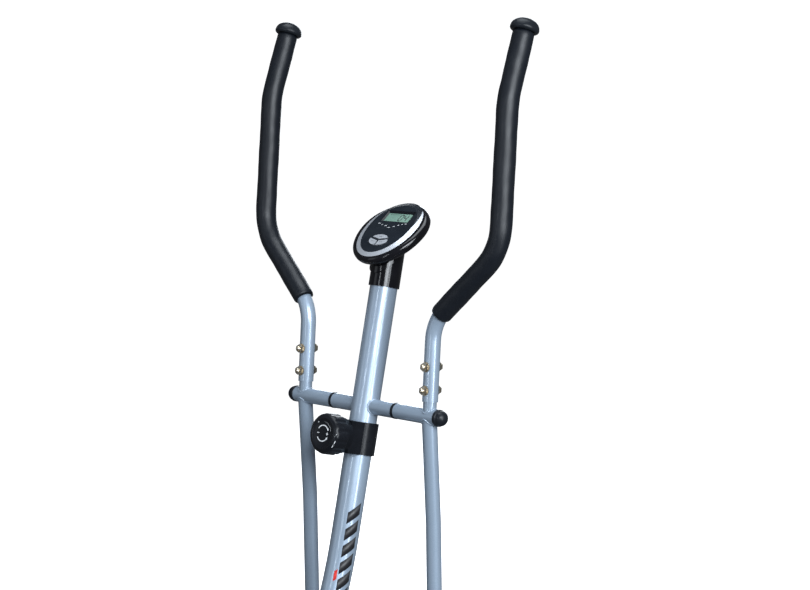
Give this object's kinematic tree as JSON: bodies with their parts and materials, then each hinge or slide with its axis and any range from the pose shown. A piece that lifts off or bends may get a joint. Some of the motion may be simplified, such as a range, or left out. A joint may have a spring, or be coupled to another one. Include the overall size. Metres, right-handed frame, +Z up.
{
  "type": "elliptical trainer",
  "caption": "Home elliptical cross trainer: swinging foam-grip arms, leaning mast with console and tension knob, pedals on a rear crank, cased flywheel drive and a floor frame.",
  "frame": {"origin": "on the floor under the middle of the machine's box", "axes": "+X to the user's right, +Y forward, away from the user who faces the console, +Z up"},
  "size_m": [0.648, 1.22, 1.5656],
  "materials": {
    "frame_paint": "gloss",
    "plated_steel": "satin",
    "foam": "matt",
    "cap_plastic": "satin",
    "casing_plastic": "fine texture",
    "tread_plastic": "fine texture",
    "console_black": "gloss",
    "console_dark": "satin",
    "console_silver": "silver paint",
    "bezel_black": "gloss",
    "lcd_glass": "gloss",
    "board_green": "matt",
    "control_plastic": "satin",
    "cast_iron": "painted",
    "bare_steel": "zinc plated",
    "pulley_plastic": "moulded",
    "belt_rubber": "matt",
    "cable_sheath": "gloss",
    "wheel_rubber": "matt"
  },
  "bodies": {
    "root": {"main_frame": "frame_paint", "front_stabilizer": "frame_paint", "rear_stabilizer": "frame_paint", "front_foot_caps": "cap_plastic", "rear_foot_caps": "cap_plastic", "frame_bolts": "plated_steel", "mast": "frame_paint", "mast_cover": "cap_plastic", "crossbar": "frame_paint", "pivot_axle": "plated_steel", "pivot_bushes": "cap_plastic", "casing_left": "casing_plastic", "casing_right": "casing_plastic", "casing_screws": "plated_steel", "drive_belt": "belt_rubber", "crank_bearings": "plated_steel", "flywheel_axle": "plated_steel", "tension_cable": "cable_sheath", "console_neck": "console_black", "console_back": "console_black", "console_face": "console_dark", "console_trim": "console_silver", "display_bezel": "bezel_black", "display_panel": "lcd_glass", "circuit_board": "board_green", "tension_housing": "control_plastic", "mast_clamp": "control_plastic"},
    "right_arm": {"swing_tube_right": "frame_paint", "handlebar_right": "frame_paint", "handlebar_bolts_right": "plated_steel", "grip_right": "foam", "grip_cap_right": "cap_plastic", "sleeve_cap_right": "cap_plastic"},
    "left_arm": {"swing_tube_left": "frame_paint", "handlebar_left": "frame_paint", "handlebar_bolts_left": "plated_steel", "grip_left": "foam", "grip_cap_left": "cap_plastic", "sleeve_cap_left": "cap_plastic"},
    "right_pedal": {"pedal_tube_right": "frame_paint", "foot_plate_right": "tread_plastic", "pedal_bolts_right": "plated_steel"},
    "left_pedal": {"pedal_tube_left": "frame_paint", "foot_plate_left": "tread_plastic", "pedal_bolts_left": "plated_steel"},
    "crank": {"crank_axle": "plated_steel", "crank_arm_right": "bare_steel", "crank_arm_left": "bare_steel", "drive_pulley": "pulley_plastic"},
    "flywheel": {"flywheel": "cast_iron", "flywheel_pulley": "pulley_plastic"},
    "brake": {"magnet_bracket": "bare_steel", "brake_magnets": "bare_steel"},
    "tension_knob": {"tension_knob": "control_plastic"},
    "key_top": {"key_top": "console_silver"},
    "key_left": {"key_left": "console_silver"},
    "key_right": {"key_right": "console_silver"},
    "wheel_right": {"transport_wheel_right": "wheel_rubber"},
    "wheel_left": {"transport_wheel_left": "wheel_rubber"}
  },
  "joints": [
    {"name": "right_arm_swing", "type": "hinge", "parent": "root", "child": "right_arm", "pos_m": [0, 0.32, 0.88], "axis": [1, 0, 0], "range_deg": [-12.7, 12.7]},
    {"name": "left_arm_swing", "type": "hinge", "parent": "root", "child": "left_arm", "pos_m": [0, 0.32, 0.88], "axis": [1, 0, 0], "range_deg": [-12.7, 12.7]},
    {"name": "right_pedal_turn", "type": "hinge", "parent": "right_arm", "child": "right_pedal", "pos_m": [0.161, 0.339, 0.29], "axis": [1, 0, 0], "range_deg": [-12.7, 12.7]},
    {"name": "left_pedal_turn", "type": "hinge", "parent": "left_arm", "child": "left_pedal", "pos_m": [-0.161, 0.339, 0.29], "axis": [1, 0, 0], "range_deg": [-12.7, 12.7]},
    {"name": "crank_spin", "type": "hinge", "parent": "root", "child": "crank", "pos_m": [0, -0.32, 0.29], "axis": [1, 0, 0], "continuous": true},
    {"name": "flywheel_spin", "type": "hinge", "parent": "root", "child": "flywheel", "pos_m": [0, -0.475, 0.25], "axis": [1, 0, 0], "continuous": true},
    {"name": "brake_swing", "type": "hinge", "parent": "root", "child": "brake", "pos_m": [0, -0.38463, 0.31095], "axis": [1, 0, 0], "range_deg": [0, 5]},
    {"name": "knob_turn", "type": "hinge", "parent": "root", "child": "tension_knob", "pos_m": [0, 0.23119, 0.83977], "axis": [0, -0.9763, 0.2164], "range_deg": [0, 270]},
    {"name": "wheel_right_spin", "type": "hinge", "parent": "root", "child": "wheel_right", "pos_m": [0.15, 0.588, 0.028], "axis": [1, 0, 0], "continuous": true},
    {"name": "wheel_left_spin", "type": "hinge", "parent": "root", "child": "wheel_left", "pos_m": [-0.15, 0.588, 0.028], "axis": [1, 0, 0], "continuous": true},
    {"name": "key_top_press", "type": "slide", "parent": "root", "child": "key_top", "axis": [0, 0.6225, -0.7826], "range_m": [0, 0.0012], "stiffness_N_per_m": 600, "springref_m": -0.0005},
    {"name": "key_left_press", "type": "slide", "parent": "root", "child": "key_left", "axis": [0, 0.6225, -0.7826], "range_m": [0, 0.0012], "stiffness_N_per_m": 600, "springref_m": -0.0005},
    {"name": "key_right_press", "type": "slide", "parent": "root", "child": "key_right", "axis": [0, 0.6225, -0.7826], "range_m": [0, 0.0012], "stiffness_N_per_m": 600, "springref_m": -0.0005}
  ],
  "couplings": [
    {"joint": "left_arm_swing", "follows": "right_arm_swing", "ratio": -1},
    {"joint": "right_pedal_turn", "follows": "right_arm_swing", "ratio": -1},
    {"joint": "left_pedal_turn", "follows": "right_arm_swing", "ratio": 1},
    {"joint": "flywheel_spin", "follows": "crank_spin", "ratio": 6.6667},
    {"joint": "knob_turn", "follows": "brake_swing", "ratio": 54}
  ]
}
